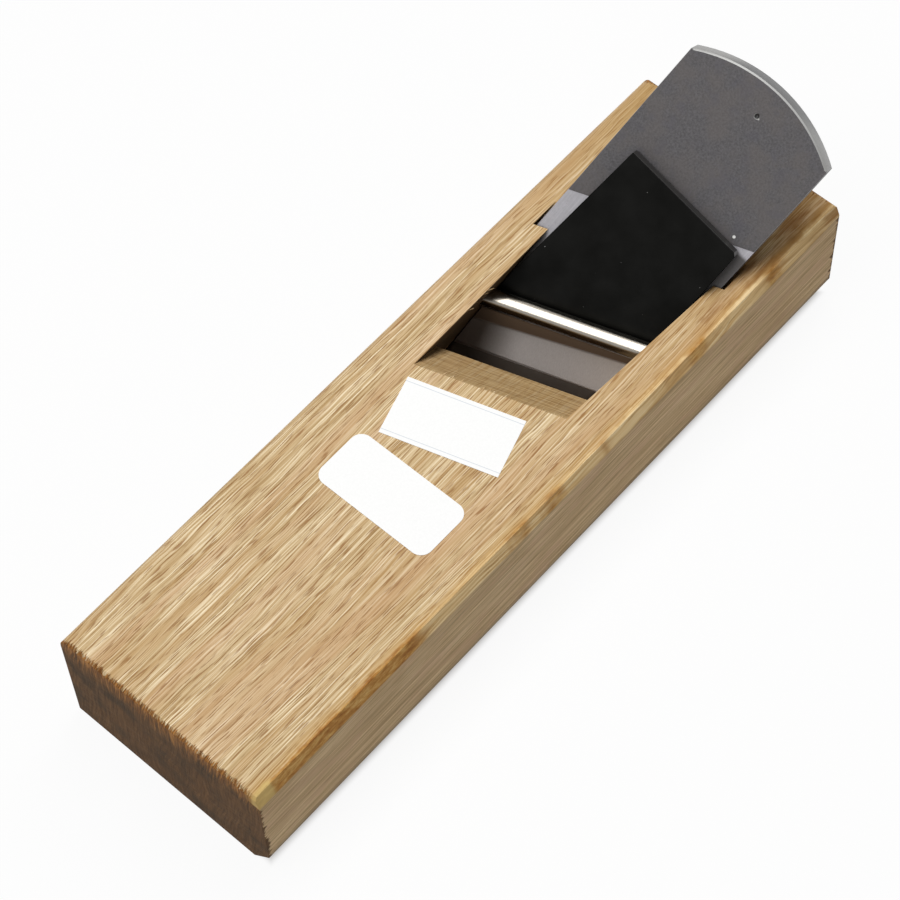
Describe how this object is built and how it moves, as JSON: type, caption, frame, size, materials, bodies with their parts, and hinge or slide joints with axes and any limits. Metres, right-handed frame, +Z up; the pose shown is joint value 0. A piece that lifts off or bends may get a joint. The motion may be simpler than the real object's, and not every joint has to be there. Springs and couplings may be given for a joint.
{
  "type": "rebate plane",
  "caption": "Right-hand wooden skew rebate plane: an oak block with a slanting throat, a leaning laminated blade, a loose chip breaker and a steel presser pin.",
  "frame": {"origin": "middle of the sole", "axes": "+X along the block towards the end that the blade leans over, +Y to the working side, +Z up"},
  "size_m": [0.2, 0.0602, 0.0731],
  "materials": {
    "oak": "planed, oiled oak with open grain",
    "pin_steel": "polished steel rod",
    "soft_iron": "satin, slightly mottled grey iron",
    "hard_steel": "ground bright steel",
    "black_steel": "blackened steel with a ground lower face",
    "paper": "plain white self-adhesive paper"
  },
  "bodies": {
    "block": {"body_block": "oak", "presser_pin": "pin_steel", "square_label": "paper", "round_label": "paper"},
    "blade": {"blade_iron": "soft_iron", "blade_steel": "hard_steel"},
    "breaker": {"chip_breaker": "black_steel"}
  },
  "joints": [
    {"name": "blade_slide", "type": "slide", "parent": "block", "child": "blade", "axis": [0.7238, -0.1925, 0.6627], "range_m": [-0.0012, 0.055]},
    {"name": "breaker_slide", "type": "slide", "parent": "blade", "child": "breaker", "axis": [0.7238, -0.1925, 0.6627], "range_m": [-0.0156, 0.038]}
  ]
}
